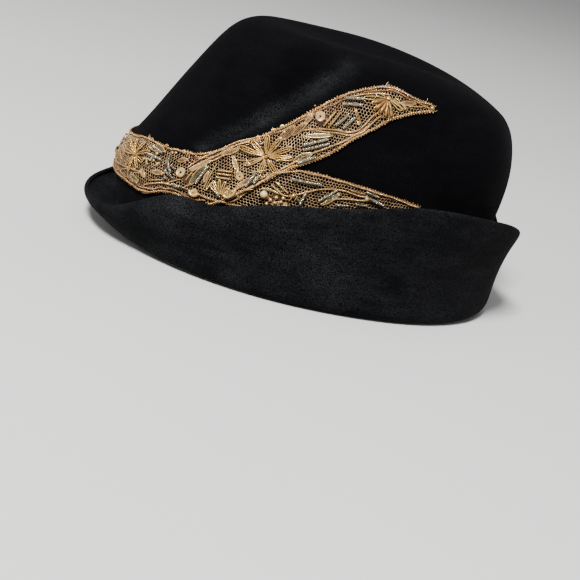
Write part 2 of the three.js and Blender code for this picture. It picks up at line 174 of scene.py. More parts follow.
HAT_CENTRE = Vector((5.5, 0, 0)) * MM
FOLD_LONG, FOLD_WIDE = 103 * MM, 80 * MM
WAVE_LONG = 42 * MM
WAVE_BRIM = 0.9 * MM
WAVE_CROWN = 0.45 * MM
BRIM_PAINTED_LIGHT = 0.8
# Painted light: the brim is painted lighter than the crown, and bands of painted highlight lie where the
# light catches the pinch's ridge and the top of the brim's fold. Both bands lie on the left and are given by
# where they run from and to, seen from there.
PAINTED_HIGHLIGHT_BANDS = [
    {"start": (-64, 60), "end": (-38, 82.5), "wide": 2.8, "share": 0.8},
    {"start": (-38, 82.5), "end": (-12, 105.5), "wide": 3.2, "share": 0.8},
    {"start": (-12, 105.5), "end": (0, 115), "wide": 3.6, "share": 0.6},
    {"start": (-86, 27), "end": (-76, 33.5), "wide": 2.2, "share": 0.6},
    {"start": (-76, 33.5), "end": (-64, 35.5), "wide": 2.2, "share": 0.6},
]
# Each point keeps its share of painted light: the brim's, and that of the painted highlight bands.
painted_highlight = felt.data.attributes.new("painted_highlight", "FLOAT", "POINT")
for vertex in felt.data.vertices:
    outward = Vector((vertex.co.x - HAT_CENTRE.x, vertex.co.y, 0))
    # The oval of the fold parts the brim, above 1, from the crown, below 1.
    oval = (outward.x / FOLD_LONG) ** 2 + (outward.y / FOLD_WIDE) ** 2
    painted_brightness = BRIM_PAINTED_LIGHT * min(1, max(0, (oval - 0.9) / 0.3))
    for band in PAINTED_HIGHLIGHT_BANDS if vertex.co.y < -30 * MM else []:
        start, end = Vector(band["start"]) * MM, Vector(band["end"]) * MM
        gone = (Vector((vertex.co.x, vertex.co.z)) - start).dot(end - start) / (end - start).length_squared
        far = (start.lerp(end, min(1, max(0, gone))) - Vector((vertex.co.x, vertex.co.z))).length
        painted_light_factor = band["share"] * exp(-((far / band["wide"] / MM) ** 2))
        painted_brightness = max(painted_brightness, min(BRIM_PAINTED_LIGHT, painted_brightness) + painted_light_factor)
    painted_highlight.data[vertex.index].value = painted_brightness
    reach = outward.length
    if reach < 5 * MM:
        continue
    # The wave moves both faces of the wall alike. It fades out at the fold that the hat stands on.
    share = min(1, max(0, (vertex.co.z - 10 * MM) / (20 * MM)))
    high = WAVE_BRIM if oval > 1 else WAVE_CROWN
    vertex.co += outward / reach * noise.noise(vertex.co / WAVE_LONG) * high * share
bpy.ops.object.shade_smooth()

# Velour felt has a dense cut pile that takes in nearly all light: black with no gloss, painted lighter on the
# brim and along the bands of painted highlight, and clouded by strokes of the brush. Its hairs are far too
# fine to show, so the pile is drawn in tufts of half a millimetre.
velour, tree, output = new_material("black velour felt")
where = add(tree, "ShaderNodeTexCoord")
brushed = add(tree, "ShaderNodeTexNoise", {
    "Vector": where.outputs["Object"], "Scale": 34.0, "Detail": 2.0, "Distortion": 0.6,
})
strokes = add(tree, "ShaderNodeMapping", {"Vector": where.outputs["Object"], "Scale": (60, 60, 240)})
stroked = add(tree, "ShaderNodeTexNoise", {"Vector": strokes.outputs[0], "Scale": 1.0, "Detail": 3.0})
pile = add(tree, "ShaderNodeTexNoise", {
    "Vector": where.outputs["Object"], "Scale": 1900.0, "Detail": 1.0, "Roughness": 0.6,
})
laid = add(tree, "ShaderNodeMix", {"Factor": 0.4, "A": brushed.outputs["Fac"], "B": stroked.outputs["Fac"]})
patches = add(tree, "ShaderNodeMapRange", {"Value": laid.outputs[0], "From Min": 0.36, "From Max": 0.64})
# Painted light: the brim and the highlight bands are mixed from the crown's tones towards lighter ones.
painted_brightness = add(tree, "ShaderNodeAttribute", attribute_name="painted_highlight")
tips = add(tree, "ShaderNodeMapRange", {"Value": pile.outputs["Fac"], "From Min": 0.38, "From Max": 0.66})
crown_tones = add(tree, "ShaderNodeMix", {
    "Factor": patches.outputs[0], "A": colour("#020203"), "B": colour("#08080A"),
}, data_type="RGBA")
painted_bright_tones = add(tree, "ShaderNodeMix", {
    "Factor": patches.outputs[0], "A": colour("#111214"), "B": colour("#262729"),
}, data_type="RGBA")
tones = add(tree, "ShaderNodeMix", {
    "Factor": painted_brightness.outputs["Fac"], "A": crown_tones.outputs[2], "B": painted_bright_tones.outputs[2],
}, data_type="RGBA")
grain = add(tree, "ShaderNodeMix", {
    "Factor": tips.outputs[0], "A": colour("#020203"), "B": tones.outputs[2],
}, data_type="RGBA")
dents = add(tree, "ShaderNodeBump", {"Strength": 0.8, "Distance": 0.4 * MM, "Height": pile.outputs["Fac"]})
surface = add(tree, "ShaderNodeBsdfPrincipled", {
    "Base Color": grain.outputs[2], "Roughness": 0.95, "Sheen Weight": 0.015, "Sheen Roughness": 0.3,
    "Sheen Tint": colour("#B9BAC0"), "Specular IOR Level": 0.04, "Normal": dents.outputs["Normal"],
})
tree.links.new(surface.outputs[0], output.inputs[0])
felt.data.materials.clear()
felt.data.materials.append(velour)
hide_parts("felt_body")
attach(felt, "root")

# Net strips. Open six-sided net of silk wrapped in copper gilt, cut to shape, laid on the felt and sewn down
# along its corded edges. Every trim is placed by degrees round from the front, over the left side, and by its
# height.
felt_surface = BVHTree.FromObject(felt, bpy.context.evaluated_depsgraph_get())
# How far the crown reaches from its middle to the front, the rear and each side, at several heights.
WALL_OVAL = [
    {"high": 30, "front": 108, "rear": 95, "half": 73.5},
    {"high": 36, "front": 107, "rear": 95, "half": 73},
    {"high": 61, "front": 95, "rear": 99, "half": 70},
    {"high": 87, "front": 81, "rear": 100, "half": 64},
    {"high": 109, "front": 67, "rear": 94, "half": 55},
    {"high": 118, "front": 58, "rear": 84, "half": 47},
]


def between(rows, place, key, at="round"):
    """The value of a column between two rows, along a smooth curve through them."""
    last = len(rows) - 1
    nxt = next((i for i, row in enumerate(rows) if row[at] >= place), last)
    nxt = max(nxt, 1)
    start, end = rows[nxt - 1][at], rows[nxt][at]
    t = min(1, max(0, (place - start) / (end - start)))
    a, b, c, d = [rows[min(last, max(0, nxt - 1 + k))][key] for k in (-1, 0, 1, 2)]
    return b + 0.5 * t * (c - a + t * (2 * a - 5 * b + 4 * c - d + t * (3 * (b - c) + d - a)))


def on_wall(degrees_round, high, clear=0.0):
    """A point so far clear of the crown's outer face, in metres, and the way out of the face there."""
    turn = radians(degrees_round)
    reach = between(WALL_OVAL, high, "front" if cos(turn) > 0 else "rear", "high")
    half = between(WALL_OVAL, high, "half", "high")
    outward = Vector((-cos(turn) * reach, -sin(turn) * half, 0)) * MM
    start = HAT_CENTRE + outward + outward.normalized() * 4.5 * MM
    start.z = high * MM
    place, way_out, _, _ = felt_surface.ray_cast(start, -outward)
    return place + way_out * clear * MM, way_out


UPPER_STRIP = [
    {"round": -48, "top": 43, "bottom": 37},
    {"round": -40, "top": 46, "bottom": 34},
    {"round": -25, "top": 47.5, "bottom": 31},
    {"round": -10, "top": 47.5, "bottom": 29.5},
    {"round": 5, "top": 49, "bottom": 29},
    {"round": 20, "top": 53, "bottom": 29},
    {"round": 32, "top": 54, "bottom": 29},
    {"round": 40, "top": 56, "bottom": 33.5},
    {"round": 46, "top": 58, "bottom": 35},
    {"round": 52, "top": 64, "bottom": 34},
    {"round": 57, "top": 70, "bottom": 36.5},
    {"round": 62, "top": 76, "bottom": 43},
    {"round": 68, "top": 84, "bottom": 54},
    {"round": 74, "top": 92.5, "bottom": 64},
    {"round": 80, "top": 100, "bottom": 70.5},
    {"round": 85, "top": 104.5, "bottom": 76.5},
    {"round": 90, "top": 107.5, "bottom": 84},
    {"round": 96, "top": 111, "bottom": 92},
    {"round": 101, "top": 111.5, "bottom": 98},
    {"round": 107, "top": 109, "bottom": 102},
    {"round": 113, "top": 107.5, "bottom": 104.5},
]
LOWER_STRIP = [
    {"round": 61, "top": 46, "bottom": 39},
    {"round": 66, "top": 55, "bottom": 40},
    {"round": 71, "top": 61, "bottom": 42},
    {"round": 76, "top": 64.5, "bottom": 44},
    {"round": 83, "top": 65.5, "bottom": 46},
    {"round": 90, "top": 65, "bottom": 48},
    {"round": 97, "top": 64, "bottom": 50},
    {"round": 104, "top": 62.5, "bottom": 53},
    {"round": 110, "top": 61, "bottom": 56},
    {"round": 114, "top": 59.5, "bottom": 57.5},
]
NET_CLEAR = 0.85
NET_PITCH = 1.55
NET_THREAD = 0.35
# A thread of the net is a fine braid that is deeper than it is wide.
THREAD_DEEP = 1.65

# Degrees round against the length along the wall, which is an oval, to cut the net evenly.
WALL_LONG, WALL_WIDE = 97, 71
ROUND_FROM, ROUND_TO, ROUND_STEP = -54, 118, 0.5
rounds = [ROUND_FROM + ROUND_STEP * i for i in range(round((ROUND_TO - ROUND_FROM) / ROUND_STEP) + 1)]
lengths_round = [0]
for turned in rounds[1:]:
    turn = radians(turned - ROUND_STEP / 2)
    per_radian = hypot(sin(turn) * WALL_LONG, cos(turn) * WALL_WIDE)
    lengths_round.append(lengths_round[-1] + per_radian * radians(ROUND_STEP))


def smooth_share(value, start, end):
    """0 before the start, 1 after the end, and a soft rise between."""
    t = min(1, max(0, (value - start) / (end - start)))
    return t * t * (3 - 2 * t)


OVERLAP_LIFT = 1.25
OVERLAP_RISE = (54, 60)
OVERLAP_FALL = (75, 80)


def overlap_lift(turned, high):
    """How far the upper strip is lifted, in millimetres, where it lies over the lower one."""
    if not OVERLAP_RISE[0] < turned < OVERLAP_FALL[1]:
        return 0
    top, bottom = between(UPPER_STRIP, turned, "top"), between(UPPER_STRIP, turned, "bottom")
    if high < bottom - 1:
        return 0
    along = smooth_share(turned, *OVERLAP_RISE) - smooth_share(turned, *OVERLAP_FALL)
    return OVERLAP_LIFT * along * smooth_share((top - high) / (top - bottom), 0.3, 0.6)


def settle_piece(piece, material, slot, *nodes):
    """Gives a piece its finish, and its place in the frame instead of the nodes that are named."""
    # Painted shade: each point keeps how far it looks outwards and how high it stands, so that the sides and
    # low parts of each thread are painted darker, as shade falls there; low down this also stands for tarnish
    # and dust.
    painted_light_factor = piece.data.attributes.new("painted_light_factor", "FLOAT", "POINT")
    for vertex, spot in zip(piece.data.vertices, painted_light_factor.data):
        near, way_out, _, _ = felt_surface.find_nearest(vertex.co)
        high = min(1, max(0, ((vertex.co - near).dot(way_out) / MM - 1) / 1.6))
        spot.value = max(0, vertex.normal.dot(way_out)) * (0.6 + 0.4 * high)
    piece.data.materials.clear()
    piece.data.materials.append(material)
    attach(piece, "root")
    if nodes:
        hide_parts(*nodes)


def metal_thread(name, deep, bright, rough, metal, patch=160.0):
    """Silk wrapped in fine flat metal wire: its turns show as a fine grain, and tarnish as darker patches.

    The real turns lie about 0.1 mm apart, and are drawn at 0.7 mm so that they show. The patches are 6 mm
    long, or as the given scale says. Both tones are given: the deep one is painted shade in the grooves
    between the turns and on the sides and low parts of each thread, and also tarnish; the bright one is
    painted light on what stands out.
    """
    material, tree, output = new_material(name)
    where = add(tree, "ShaderNodeTexCoord")
    tarnish = add(tree, "ShaderNodeTexNoise", {
        "Vector": where.outputs["Object"], "Scale": patch, "Detail": 3.0, "Roughness": 0.6,
    })
    turns = add(tree, "ShaderNodeTexNoise", {
        "Vector": where.outputs["Object"], "Scale": 1500.0, "Detail": 2.0, "Roughness": 0.7,
    })
    lit = add(tree, "ShaderNodeMapRange", {
        "Value": turns.outputs["Fac"], "From Min": 0.36, "From Max": 0.6, "To Min": 0.25,
    })
    worn = add(tree, "ShaderNodeMapRange", {
        "Value": tarnish.outputs["Fac"], "From Min": 0.36, "From Max": 0.64,
    })
    tarnish_free = add(tree, "ShaderNodeMath", {0: worn.outputs[0], 1: 0.5}, operation="MULTIPLY_ADD")
    tarnish_free.inputs[2].default_value = 0.5
    # Painted shade and light: the sides and low parts of each thread are darkened, and what faces out is
    # lightened.
    outer = add(tree, "ShaderNodeAttribute", attribute_name="painted_light_factor")
    painted_facing_light = add(tree, "ShaderNodeMapRange", {
        "Value": outer.outputs["Fac"], "From Min": 0.1, "From Max": 0.68, "To Min": 0.08,
    })
    painted_light_and_tarnish = add(tree, "ShaderNodeMath", {0: tarnish_free.outputs[0], 1: painted_facing_light.outputs[0]}, operation="MULTIPLY")
    shade = add(tree, "ShaderNodeMath", {0: painted_light_and_tarnish.outputs[0], 1: lit.outputs[0]}, operation="MULTIPLY")
    tones = add(tree, "ShaderNodeMix", {
        "Factor": shade.outputs[0], "A": colour(deep), "B": colour(bright),
    }, data_type="RGBA")
    polish = add(tree, "ShaderNodeMapRange", {
        "Value": turns.outputs["Fac"], "From Min": 0.3, "From Max": 0.7,
        "To Min": rough + 0.14, "To Max": rough - 0.08,
    })
    ridges = add(tree, "ShaderNodeBump", {
        "Strength": 0.9, "Distance": 0.12 * MM, "Height": turns.outputs["Fac"],
    })
    surface = add(tree, "ShaderNodeBsdfPrincipled", {
        "Base Color": tones.outputs[2], "Metallic": metal, "Roughness": polish.outputs[0],
        "Specular IOR Level": 0.2, "Normal": ridges.outputs["Normal"],
    })
    tree.links.new(surface.outputs[0], output.inputs[0])
    return material


# Copper gilt on silk: reddish gold, worn to the silk in places, so only half metallic and rather rough.
net_thread = metal_thread("copper gilt net thread", "#40280F", "#FFD8A4", 0.32, metal=0.5)


def lay_net(name, rows, node):
    """Cuts hexagonal net to the outline that the rows give, and lays it on the wall."""
    low = min(row["bottom"] for row in rows) - 2
    high = max(row["top"] for row in rows) + 2
    start = lengths_round[rounds.index(rows[0]["round"])] - 1
    end = lengths_round[rounds.index(rows[-1]["round"])] + 1
    across, up = NET_PITCH * MM, NET_PITCH * sqrt(3) * MM
    bpy.ops.object.select_all(action="DESELECT")
    bpy.ops.mesh.primitive_circle_add(vertices=6, radius=across / sqrt(3), fill_type="NGON")
    net = bpy.context.object
    net.name = name
    for step, count in (
        ((across / 2, up / 2, 0), 2),
        ((across, 0, 0), int((end - start) / NET_PITCH) + 2),
        ((0, up, 0), int((high - low) * MM / up) + 2),
    ):
        rows_of_cells = net.modifiers.new("cells", "ARRAY")
        rows_of_cells.use_relative_offset = False
        rows_of_cells.use_constant_offset = True
        rows_of_cells.constant_offset_displace = step
        rows_of_cells.count = count
        bpy.ops.object.modifier_apply(modifier="cells")
    bpy.ops.object.mode_set(mode="EDIT")
    bpy.ops.mesh.select_mode(type="FACE")
    bpy.ops.mesh.select_all(action="SELECT")
    bpy.ops.mesh.remove_doubles(threshold=0.05 * MM)
    bpy.ops.mesh.select_all(action="DESELECT")
    bpy.ops.object.mode_set(mode="OBJECT")
    # Each point of the flat net gets its degrees round and its height.
    places = {}
    for vertex in net.data.vertices:
        along = vertex.co.x / MM + start
        i = min(max(bisect(lengths_round, along), 1), len(rounds) - 1)
        part = (along - lengths_round[i - 1]) / (lengths_round[i] - lengths_round[i - 1])
        places[vertex.index] = rounds[i - 1] + ROUND_STEP * part, vertex.co.y / MM + low
    # The cells outside the outline are selected, and deleted once the net lies on the wall.
    for cell in net.data.polygons:
        turned = sum(places[i][0] for i in cell.vertices) / len(cell.vertices)
        height = sum(places[i][1] for i in cell.vertices) / len(cell.vertices)
        bottom, top = between(rows, turned, "bottom"), between(rows, turned, "top")
        cell.select = not (rows[0]["round"] < turned < rows[-1]["round"] and bottom < height < top)
    # The net is pulled a little out of true, and drawn in to the outline at its edges.
    for vertex in net.data.vertices:
        turned = min(max(places[vertex.index][0], rows[0]["round"]), rows[-1]["round"])
        bottom, top = between(rows, turned, "bottom"), between(rows, turned, "top")
        turned += 0.2 * noise.noise(vertex.co / (2.6 * MM))
        pulled = places[vertex.index][1] + 0.4 * noise.noise(vertex.co / (3.1 * MM) + Vector((7, 0, 0)))
        height = min(max(pulled, bottom + 0.4), top - 0.4)
        lift = overlap_lift(turned, height) if rows is UPPER_STRIP else 0
        vertex.co = on_wall(turned, height, NET_CLEAR + lift)[0]
    bpy.ops.object.mode_set(mode="EDIT")
    bpy.ops.mesh.delete(type="FACE")
    bpy.ops.mesh.select_all(action="SELECT")
    bpy.ops.mesh.normals_make_consistent(inside=False)
    bpy.ops.object.mode_set(mode="OBJECT")
    # The edges of the cells become threads, which are then made deeper than they are wide.
    sheet = BVHTree.FromObject(net, bpy.context.evaluated_depsgraph_get())
    threads = net.modifiers.new("threads", "WIREFRAME")
    threads.thickness = NET_THREAD * MM
    threads.offset = 0
    threads.use_even_offset = False
    threads.use_boundary = True
    bpy.ops.object.modifier_apply(modifier="threads")
    for vertex in net.data.vertices:
        near, way_out, _, _ = sheet.find_nearest(vertex.co)
        vertex.co += way_out * (vertex.co - near).dot(way_out) * (THREAD_DEEP - 1)
    bpy.ops.object.shade_smooth()
    settle_piece(net, net_thread, "gilt_net", node)


lay_net("upper_gilt_net", UPPER_STRIP, "upper_net_strip")
lay_net("lower_gilt_net", LOWER_STRIP, "lower_net_strip")

# Edge cords. Two gilt threads twisted together, sewn along the edges of both strips, with a second cord
# beside the first along the upper strip, and a fine thread looped into picots outside them.
EDGE_CORD = 1.05
EDGE_INSET = 0.5
CORD_LAY = 2.0
CORD_STEP = CORD_LAY / 8
SECOND_CORD_INSET = 2.1
PICOT_THREAD = 0.3
PICOT_PITCH = 1.5
PICOT_STEPS = 10
NET_TOP = 1.15


def on_net(turned, high, above=0.0):
    """A point so far above the net, in millimetres, and the way out of the wall there."""
    return on_wall(turned, high, NET_TOP + overlap_lift(turned, high) + above)


def even_steps(path, step):
    """The points of a path again, at even steps along it, with the way out at each."""
    gone = [0]
    for (a, _), (b, _) in zip(path, path[1:]):
        gone.append(gone[-1] + (b - a).length)
    count = max(2, round(gone[-1] / (step * MM)))
    even = []
    for k in range(count + 1):
        far = gone[-1] * k / count
        i = min(max(bisect(gone, far), 1), len(gone) - 1)
        part = (far - gone[i - 1]) / max(gone[i] - gone[i - 1], 1e-9)
        (a, out_a), (b, out_b) = path[i - 1], path[i]
        even.append((a.lerp(b, part), out_a.lerp(out_b, part).normalized()))
    return even


def line_on_net(points, above, step, bow=0.0):
    """A smooth line through places on the net, in even steps. It may bow up in its middle."""
    rows = [{"at": i, "round": turned, "high": high} for i, (turned, high) in enumerate(points)]
    fine = 10 * (len(points) - 1)
    path = []
    for k in range(fine + 1):
        at = k * (len(points) - 1) / fine
        turned, high = between(rows, at, "round", "at"), between(rows, at, "high", "at")
        path.append(on_net(turned, high, above + bow * sin(pi * k / fine)))
    return even_steps(path, step)


def heading(path, i):
    """Which way a path runs at one of its points."""
    return (path[min(i + 1, len(path) - 1)][0] - path[max(i - 1, 0)][0]).normalized()


def wind(path, off, lay, count=1):
    """Lines that wind round a path: plies of a cord, or the wire of a coil."""
    lines = [[] for _ in range(count)]
    gone = 0
    for i, (place, way_out) in enumerate(path):
        ahead = heading(path, i)
        out = (way_out - ahead * way_out.dot(ahead)).normalized()
        side = ahead.cross(out)
        for ply, line in enumerate(lines):
            angle = 2 * pi * (gone / lay / MM + ply / count)
            line.append(place + (out * sin(angle) + side * cos(angle)) * off * MM)
        if i + 1 < len(path):
            gone += (path[i + 1][0] - place).length
    return lines


def beside(path, off, wander=0.0):
    """The same path, moved sideways, which is downwards on the left of the hat. It may wander."""
    moved = []
    for i, (place, way_out) in enumerate(path):
        ahead = heading(path, i)
        stray = off + wander * noise.noise(place / (5 * MM) + Vector((off, 0, 0)))
        moved.append((place + ahead.cross(way_out) * stray * MM, way_out))
    return moved


def strands(name, lines, thick, corners=6, taper=None):
    """Rounds each line of points to a strand of the given thickness, all in one mesh. It may taper."""
    curve = bpy.data.curves.new(name, "CURVE")
    curve.dimensions = "3D"
    curve.bevel_depth = thick / 2 * MM
    curve.bevel_resolution = (corners - 4) // 2
    curve.use_fill_caps = True
    for line in lines:
        spline = curve.splines.new("POLY")
        spline.points.add(len(line) - 1)
        for point, place in zip(spline.points, line):
            point.co = (*place, 1)
        for k, point in enumerate(spline.points):
            point.radius = taper(k / (len(line) - 1)) if taper else 1
    piece = bpy.data.objects.new(name, curve)
    bpy.context.collection.objects.link(piece)
    take(piece)
    bpy.ops.object.convert(target="MESH")
    piece = bpy.context.object
    bpy.ops.object.mode_set(mode="EDIT")
    bpy.ops.mesh.select_all(action="SELECT")
    bpy.ops.mesh.remove_doubles(threshold=0.003 * MM)
    bpy.ops.mesh.normals_make_consistent(inside=False)
    bpy.ops.object.mode_set(mode="OBJECT")
    bpy.ops.object.shade_smooth()
    return piece


# Painted light on what faces out and painted shade on the sides: a warm gold cord, a redder copper one, and a
# duller thread outside them.
gilt_cord = metal_thread("copper gilt twisted cord", "#3E1E08", "#FFCE8C", 0.22, metal=0.6)
copper_cord = metal_thread("red copper twisted cord", "#38200F", "#DCA273", 0.26, metal=0.6)
picot_thread = metal_thread("old gold picot thread", "#3A2008", "#F2B87C", 0.3, metal=0.5)

for strip, rows in (("upper", UPPER_STRIP), ("lower", LOWER_STRIP)):
    edges = []
    for edge, inset in (("top", EDGE_INSET), ("bottom", -EDGE_INSET)):
        points = [(row["round"], row[edge]) for row in rows]
        edges.append((line_on_net(points, 0.25, CORD_STEP), inset))
    cords = []
    for path, inset in edges:
        cords += wind(beside(path, inset, 0.5), EDGE_CORD * 0.3, CORD_LAY, 2)
    settle_piece(strands(f"{strip}_edge_cords", cords, EDGE_CORD / 2), gilt_cord, "gilt_cord")
    if strip == "upper":
        # The second cord is redder. It runs along the front's lower edge and the tail's upper edge.
        cords = []
        for path, inset in edges:
            inner = path[:round(len(path) * 0.55)] if inset < 0 else path[round(len(path) * 0.5):]
            off = SECOND_CORD_INSET * (1 if inset > 0 else -1)
            cords += wind(beside(inner, off, 1.2), EDGE_CORD * 0.28, CORD_LAY, 2)
        settle_piece(strands("copper_inner_cords", cords, EDGE_CORD * 0.45), copper_cord, "gilt_cord")
    # A picot is a small loop of thread that stands out past the cord. No two are quite alike.
    loops = []
    for path, inset in edges:
        away = -1 if inset > 0 else 1
        fine = even_steps(path, PICOT_PITCH / PICOT_STEPS)
        loop = []
        for i, (place, way_out) in enumerate(fine):
            ahead = heading(fine, i)
            angle = 2 * pi * i / PICOT_STEPS
            tall = 0.5 + 0.6 * noise.noise(place / (2.4 * MM))
            off = (tall * (1 - cos(angle)) / 2 - 0.1) * away
            loop.append(place + (ahead.cross(way_out) * off + ahead * 0.5 * sin(angle)) * MM)
        loops.append(loop)
    settle_piece(strands(f"{strip}_picot_edge", loops, PICOT_THREAD, 4), picot_thread, "gilt_cord")

# Scroll cords. Single cords of two gilt threads, a little thinner than the edge cords. They are laid on the
# net in long curves between the flowers and held down by small stitches over them.
SCROLLS = [
    [(75.9, 84.8), (79.5, 86.1), (84.7, 87.4), (88.2, 87.5), (91.1, 89.3), (92.7, 92.2), (94.2, 96.3),
     (95.9, 99.2)],
    [(73.3, 82.9), (76.7, 84.8), (80.2, 85), (85.2, 86.2), (88.8, 86.4), (92, 88.4), (93.8, 91.6),
     (95.4, 95.4), (97, 98.2)],
    [(61.2, 42.7), (67.1, 52.6), (70.6, 60.6), (74.6, 67.4), (78.1, 73), (83.1, 78.3), (87.5, 82.9),
     (91.1, 87.6), (94.5, 93.6)],
    [(44.6, 49.7), (45.7, 53.1), (48, 57.7), (50.6, 61.8), (53.2, 66.1), (55.4, 69.2), (57.9, 71.6),
     (61.9, 75)],
    [(45.4, 48.9), (47.1, 52.9), (49.6, 57.1), (51.6, 60.5), (53.6, 64.2), (55.9, 68), (58.3, 70.4)],
    [(46.5, 48.3), (48.3, 52.4), (51, 56.9), (52.5, 59.5), (54, 62.1)],
    [(65.4, 47.9), (63.8, 43.5), (61.8, 40.6), (58.7, 39.4), (55.3, 39), (51, 39.4), (46.2, 39.6),
     (42.4, 38.6), (38.7, 37.6), (35.3, 35.4), (31.6, 32.8)],
    [(68.7, 51.4), (70.8, 52.4), (73.4, 51.8), (76.8, 51.7), (80.2, 54.8), (83.8, 58.1), (87.6, 60),
     (91.6, 60.5), (95.9, 59.6), (98.3, 60.1)],
    [(85.8, 51.5), (88.3, 55), (92.2, 56.9), (96.2, 57.6), (99.4, 58.4)],
    [(23.8, 49.8), (27.9, 49.5), (31.1, 50.7), (33.1, 51.7)],
    [(69.6, 66), (73.7, 70)],
    [(98.6, 107.8), (95.8, 107.7), (91.8, 106.1), (88.2, 104)],
    [(-40, 40), (-25, 44), (-12, 39), (2, 42)],
    [(-44, 38), (-30, 36), (-16, 41), (-4, 37), (8, 34), (20, 36), (30, 38)],
]
SILVER_SCROLLS = [
    [(94.8, 110), (96.8, 110.8), (99.6, 111), (103.3, 110.2), (106.6, 108.7)],
    [(69.6, 51.6), (72.6, 52.2), (76, 54)],
]
SCROLL_PLY = 0.56
scrolls = []
for points in SCROLLS:
    scrolls += wind(line_on_net(points, 0.35, CORD_STEP), 0.26, CORD_LAY, 2)
settle_piece(strands("scroll_cords", scrolls, SCROLL_PLY), gilt_cord, "gilt_cord")

# Silver purls. Springy coils of silvered wire, gone grey, cut to length and sewn on like beads by a thread
# through them. Two cords of the same wire lie with the scrolls. The turns are drawn coarser than real ones.
SILVER_PURLS = [
    [(26, 51), (32.5, 50.5)],
    [(27, 47), (34, 47.5)],
    [(36.4, 48.6), (40.4, 43.6)],
    [(50, 43.8), (50.7, 53.6)],
    [(64.5, 50.5), (65.5, 58)],
    [(66.2, 53), (67, 57.6)],
    [(75.4, 76.6), (82.7, 82.4)],
    [(76.2, 74.6), (83.3, 80.4)],
    [(83.8, 89.1), (87.2, 95.2)],
    [(86.4, 88.7), (89.6, 94.6)],
    [(84.2, 99.4), (91.2, 100.8)],
    [(84.8, 102.2), (91.4, 103.6)],
    [(76, 68), (80.5, 73)],
    [(75.8, 60), (84.6, 60.9)],
    [(85, 53), (89.2, 60)],
    [(80.5, 49), (81, 55)],
    [(98.6, 59.4), (103.2, 57.4)],
]
PURL_RADIUS = 0.9
PURL_WIRE = 0.5
PURL_PITCH = 1.4
# Silvered copper wire: painted light on its crests, with points of light from its gloss, and nearly black
# between the turns, which is painted shade together with tarnish.
grey_silver = metal_thread("tarnished silver purl wire", "#2E2719", "#E6DABC", 0.15, metal=0.75, patch=900.0)
scrolls = []
for points in SILVER_SCROLLS:
    scrolls += wind(line_on_net(points, 0.4, CORD_STEP), 0.2, CORD_LAY, 2)
settle_piece(strands("silver_scroll_cords", scrolls, 0.36), grey_silver, "silver_purl")
for number, points in enumerate(SILVER_PURLS, 1):
    path = line_on_net(points, 0.95, PURL_PITCH / 12, 0.15)
    turns = wind(path, PURL_RADIUS - PURL_WIRE / 2, PURL_PITCH, 2)
    coil = strands(f"silver_purl_coil_{number:02}", turns, PURL_WIRE, 6)
    settle_piece(coil, grey_silver, "silver_purl", f"silver_purl_{number:02}")

# Gilt bars. Shorter, thinner coils of gilt wire with their turns close together, laid straight in rows and
# sewn down through the coil.
GILT_BARS = [
    [(54.2, 53.4), (58.8, 54.8)],
    [(54.6, 51.7), (59, 53.1)],
    [(55, 50), (59.4, 51.4)],
    [(54, 42.5), (54.5, 47)],
    [(71.9, 56.6), (76.4, 53)],
    [(71, 54.8), (75.4, 51.2)],
    [(79.9, 87.6), (82.6, 95.6)],
    [(81.6, 87.4), (84.3, 95.4)],
]
BAR_RADIUS = 0.56
BAR_WIRE = 0.42
BAR_PITCH = 0.46
# The least worn gilding on the hat, so the brightest and smoothest of the gilt threads.
bright_gilt = metal_thread("bright gilt wire", "#5E300A", "#FFDA8A", 0.18, metal=0.6)
for number, points in enumerate(GILT_BARS, 1):
    path = line_on_net(points, 0.65, BAR_PITCH / 8, 0.1)
    turns = wind(path, BAR_RADIUS - BAR_WIRE / 2, BAR_PITCH)
    coil = strands(f"gilt_bar_coil_{number:02}", turns, BAR_WIRE, 6)
    settle_piece(coil, bright_gilt, "gilt_cord", f"gilt_bar_{number:02}")

# Sequins. Punched from thin gilt foil, dished with a rolled rim, each held by a knotted thread through
# its hole.
SEQUINS = [
    {"round": 43.2, "high": 46, "radius": 2.5, "lean": -9},
    {"round": 61.5, "high": 54, "radius": 2, "lean": 7},
    {"round": 77.8, "high": 91.6, "radius": 2.4, "lean": 12},
    {"round": 60.3, "high": 45.2, "radius": 2.2, "lean": 24},
    {"round": 50.6, "high": 39.6, "radius": 1.8, "lean": -20},
]
FOIL_THICK = 0.18
# How wide each ring of a sequin is against its radius, and how high it lies for a radius of 2 mm.
SEQUIN_RINGS = [(1.0, 0.0), (0.93, 0.26), (0.8, 0.16), (0.5, -0.06), (0.26, -0.1)]


def standing(turned, high, above, lean=0.0):
    """A frame on the net: right along the wall, up it, and out of it. It may lean."""
    place, way_out = on_net(turned, high, above)
    right = Vector((0, 0, 1)).cross(way_out).normalized()
    up = way_out.cross(right)
    stand = Matrix((right, up, way_out)).transposed().to_4x4()
    return Matrix.Translation(place) @ stand @ Matrix.Rotation(lean, 4, "X")


# Thin gilt metal foil, rolled smooth: glossy, with cloudy scuffs 2 mm across that dull the gilding.
foil, tree, output = new_material("gilt sequin foil")
where = add(tree, "ShaderNodeTexCoord")
worn = add(tree, "ShaderNodeTexNoise", {"Vector": where.outputs["Object"], "Scale": 420.0, "Detail": 2.0})
tones = add(tree, "ShaderNodeMix", {
    "Factor": worn.outputs["Fac"], "A": colour("#94692E"), "B": colour("#EFCB8E"),
}, data_type="RGBA")
scuffs = add(tree, "ShaderNodeMapRange", {
    "Value": worn.outputs["Fac"], "From Min": 0.3, "From Max": 0.7, "To Min": 0.2, "To Max": 0.38,
})
surface = add(tree, "ShaderNodeBsdfPrincipled", {
    "Base Color": tones.outputs[2], "Metallic": 0.6, "Roughness": scuffs.outputs[0],
})
tree.links.new(surface.outputs[0], output.inputs[0])


